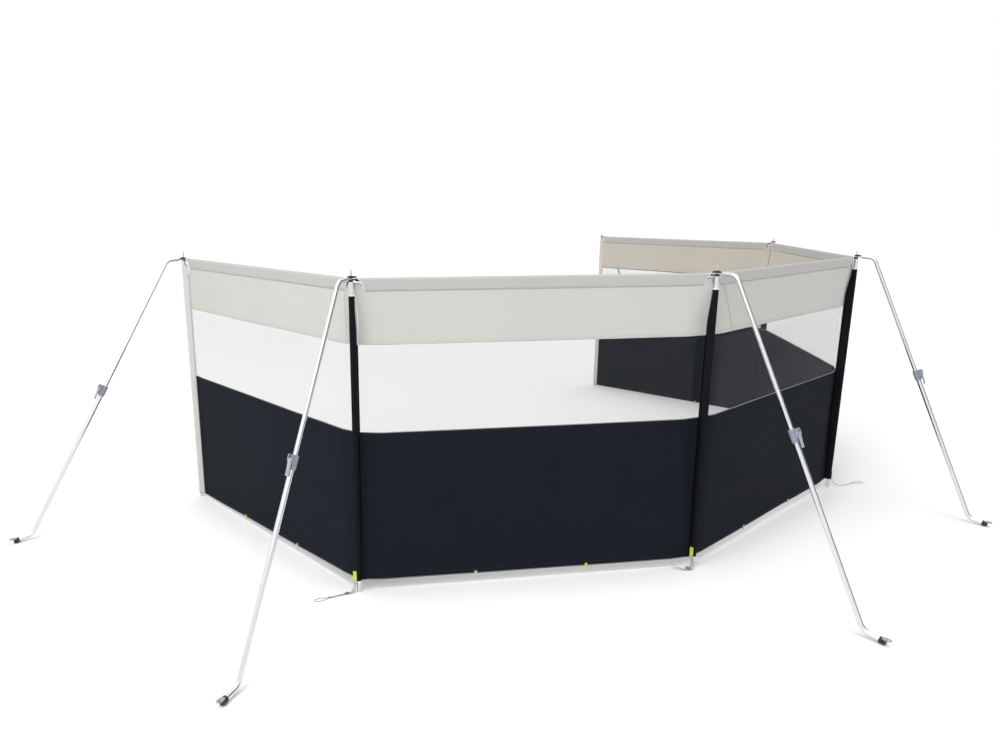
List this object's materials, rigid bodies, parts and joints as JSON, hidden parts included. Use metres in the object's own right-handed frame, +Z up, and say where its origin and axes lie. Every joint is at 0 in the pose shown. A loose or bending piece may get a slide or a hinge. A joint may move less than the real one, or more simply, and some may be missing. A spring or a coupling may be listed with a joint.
{
  "type": "beach windbreak",
  "caption": "Beach windbreak of cloth bays with header rails and clear windows, pitched in a U round a sheltered space and propped by telescopic braces on posts.",
  "frame": {"origin": "bottom centre of the box round the pitched row, on the ground", "axes": "+Z up, +X along the middle bay from left to right as seen from outside, +Y into the sheltered space and out of its open back"},
  "size_m": [6.2118, 3.565, 1.438],
  "materials": {
    "band_cloth": "matt woven, warm light grey",
    "sleeve_cloth": "matt woven, mid grey",
    "dark_cloth": "matt coated, near black",
    "clear_film": "clear soft film",
    "tube_metal": "satin",
    "pin_steel": "satin",
    "black_plastic": "moulded",
    "clamp_plastic": "moulded",
    "lever_plastic": "moulded",
    "welt_cord": "piping",
    "tab_webbing": "woven webbing, lime",
    "clear_rubber": "translucent",
    "peg_cord": "thin braided cord"
  },
  "bodies": {
    "windbreak": {"lower_panel_a": "dark_cloth", "window_a": "clear_film", "top_band_a": "band_cloth", "lower_panel_b": "dark_cloth", "window_b": "clear_film", "top_band_b": "band_cloth", "lower_panel_c": "dark_cloth", "window_c": "clear_film", "top_band_c": "band_cloth", "lower_panel_d": "dark_cloth", "window_d": "clear_film", "top_band_d": "band_cloth", "lower_panel_e": "dark_cloth", "window_e": "clear_film", "top_band_e": "band_cloth", "header_sleeves": "sleeve_cloth", "header_rails": "tube_metal", "rail_ends": "black_plastic", "posts": "tube_metal", "post_pins": "pin_steel", "post_pockets": "dark_cloth", "end_pockets": "sleeve_cloth", "welts": "welt_cord", "hem_tabs": "tab_webbing", "foot_tabs": "tab_webbing", "ladder_straps": "clear_rubber", "peg_cord_1": "peg_cord", "peg_cord_3": "peg_cord"},
    "brace_0_upper": {"brace_0_upper_tube": "tube_metal"},
    "brace_0_lower": {"brace_0_lower_tube": "tube_metal", "brace_0_clamp": "clamp_plastic", "brace_0_foot": "black_plastic"},
    "brace_0_cam": {"brace_0_lever": "lever_plastic"},
    "brace_1_upper": {"brace_1_upper_tube": "tube_metal"},
    "brace_1_lower": {"brace_1_lower_tube": "tube_metal", "brace_1_clamp": "clamp_plastic", "brace_1_foot": "black_plastic"},
    "brace_1_cam": {"brace_1_lever": "lever_plastic"},
    "brace_2_upper": {"brace_2_upper_tube": "tube_metal"},
    "brace_2_lower": {"brace_2_lower_tube": "tube_metal", "brace_2_clamp": "clamp_plastic", "brace_2_foot": "black_plastic"},
    "brace_2_cam": {"brace_2_lever": "lever_plastic"},
    "brace_3_upper": {"brace_3_upper_tube": "tube_metal"},
    "brace_3_lower": {"brace_3_lower_tube": "tube_metal", "brace_3_clamp": "clamp_plastic", "brace_3_foot": "black_plastic"},
    "brace_3_cam": {"brace_3_lever": "lever_plastic"},
    "brace_4_upper": {"brace_4_upper_tube": "tube_metal"},
    "brace_4_lower": {"brace_4_lower_tube": "tube_metal", "brace_4_clamp": "clamp_plastic", "brace_4_foot": "black_plastic"},
    "brace_4_cam": {"brace_4_lever": "lever_plastic"},
    "brace_5_upper": {"brace_5_upper_tube": "tube_metal"},
    "brace_5_lower": {"brace_5_lower_tube": "tube_metal", "brace_5_clamp": "clamp_plastic", "brace_5_foot": "black_plastic"},
    "brace_5_cam": {"brace_5_lever": "lever_plastic"}
  },
  "joints": [
    {"name": "brace_0_swivel", "type": "hinge", "parent": "windbreak", "child": "brace_0_upper", "pos_m": [-2.05597, 1.61272, 1.3936], "axis": [0, 0, 1], "range_deg": [-90, 64.3]},
    {"name": "brace_0_slide", "type": "slide", "parent": "brace_0_upper", "child": "brace_0_lower", "axis": [-0.5252, 0.0064, -0.8509], "range_m": [-0.535, 0.165]},
    {"name": "brace_0_cam_lever", "type": "hinge", "parent": "brace_0_lower", "child": "brace_0_cam", "pos_m": [-2.57994, 1.61912, 0.74032], "axis": [0.0122, 0.9999, 0], "range_deg": [0, 115]},
    {"name": "brace_1_swivel", "type": "hinge", "parent": "windbreak", "child": "brace_1_upper", "pos_m": [-2.09506, 0.0132, 1.3989], "axis": [0, 0, 1], "range_deg": [-88.1, 99.5]},
    {"name": "brace_1_slide", "type": "slide", "parent": "brace_1_upper", "child": "brace_1_lower", "axis": [-0.4418, -0.1758, -0.8797], "range_m": [-0.488, 0.212]},
    {"name": "brace_1_cam_lever", "type": "hinge", "parent": "brace_1_lower", "child": "brace_1_cam", "pos_m": [-2.52606, -0.15832, 0.76294], "axis": [-0.3697, 0.9291, 0], "range_deg": [0, 115]},
    {"name": "brace_2_swivel", "type": "hinge", "parent": "windbreak", "child": "brace_2_upper", "pos_m": [-0.76549, -0.87688, 1.3989], "axis": [0, 0, 1], "range_deg": [-93.8, 70]},
    {"name": "brace_2_slide", "type": "slide", "parent": "brace_2_upper", "child": "brace_2_lower", "axis": [-0.0397, -0.4541, -0.8901], "range_m": [-0.47, 0.23]},
    {"name": "brace_2_cam_lever", "type": "hinge", "parent": "brace_2_lower", "child": "brace_2_cam", "pos_m": [-0.80396, -1.31662, 0.77104], "axis": [-0.9962, 0.0872, 0], "range_deg": [0, 115]},
    {"name": "brace_3_swivel", "type": "hinge", "parent": "windbreak", "child": "brace_3_upper", "pos_m": [0.83451, -0.87688, 1.3989], "axis": [0, 0, 1], "range_deg": [-65.1, 105.6]},
    {"name": "brace_3_slide", "type": "slide", "parent": "brace_3_upper", "child": "brace_3_lower", "axis": [0.0007, -0.4284, -0.9036], "range_m": [-0.447, 0.253]},
    {"name": "brace_3_cam_lever", "type": "hinge", "parent": "brace_3_lower", "child": "brace_3_cam", "pos_m": [0.83523, -1.28926, 0.78154], "axis": [-1, -0.0017, 0], "range_deg": [0, 115]},
    {"name": "brace_4_swivel", "type": "hinge", "parent": "windbreak", "child": "brace_4_upper", "pos_m": [2.04753, 0.16648, 1.3989], "axis": [0, 0, 1], "range_deg": [-144.3, 34.7]},
    {"name": "brace_4_slide", "type": "slide", "parent": "brace_4_upper", "child": "brace_4_lower", "axis": [0.4118, 0.2378, -0.8797], "range_m": [-0.488, 0.212]},
    {"name": "brace_4_cam_lever", "type": "hinge", "parent": "brace_4_lower", "child": "brace_4_cam", "pos_m": [2.44925, 0.39842, 0.76294], "axis": [0.5, -0.866, 0], "range_deg": [0, 115]},
    {"name": "brace_5_swivel", "type": "hinge", "parent": "windbreak", "child": "brace_5_upper", "pos_m": [2.05591, 1.76646, 1.3936], "axis": [0, 0, 1], "range_deg": [-65, 90]},
    {"name": "brace_5_slide", "type": "slide", "parent": "brace_5_upper", "child": "brace_5_lower", "axis": [0.5253, -0.0028, -0.8509], "range_m": [-0.535, 0.165]},
    {"name": "brace_5_cam_lever", "type": "hinge", "parent": "brace_5_lower", "child": "brace_5_cam", "pos_m": [2.57991, 1.76371, 0.74032], "axis": [-0.0052, -1, 0], "range_deg": [0, 115]}
  ]
}
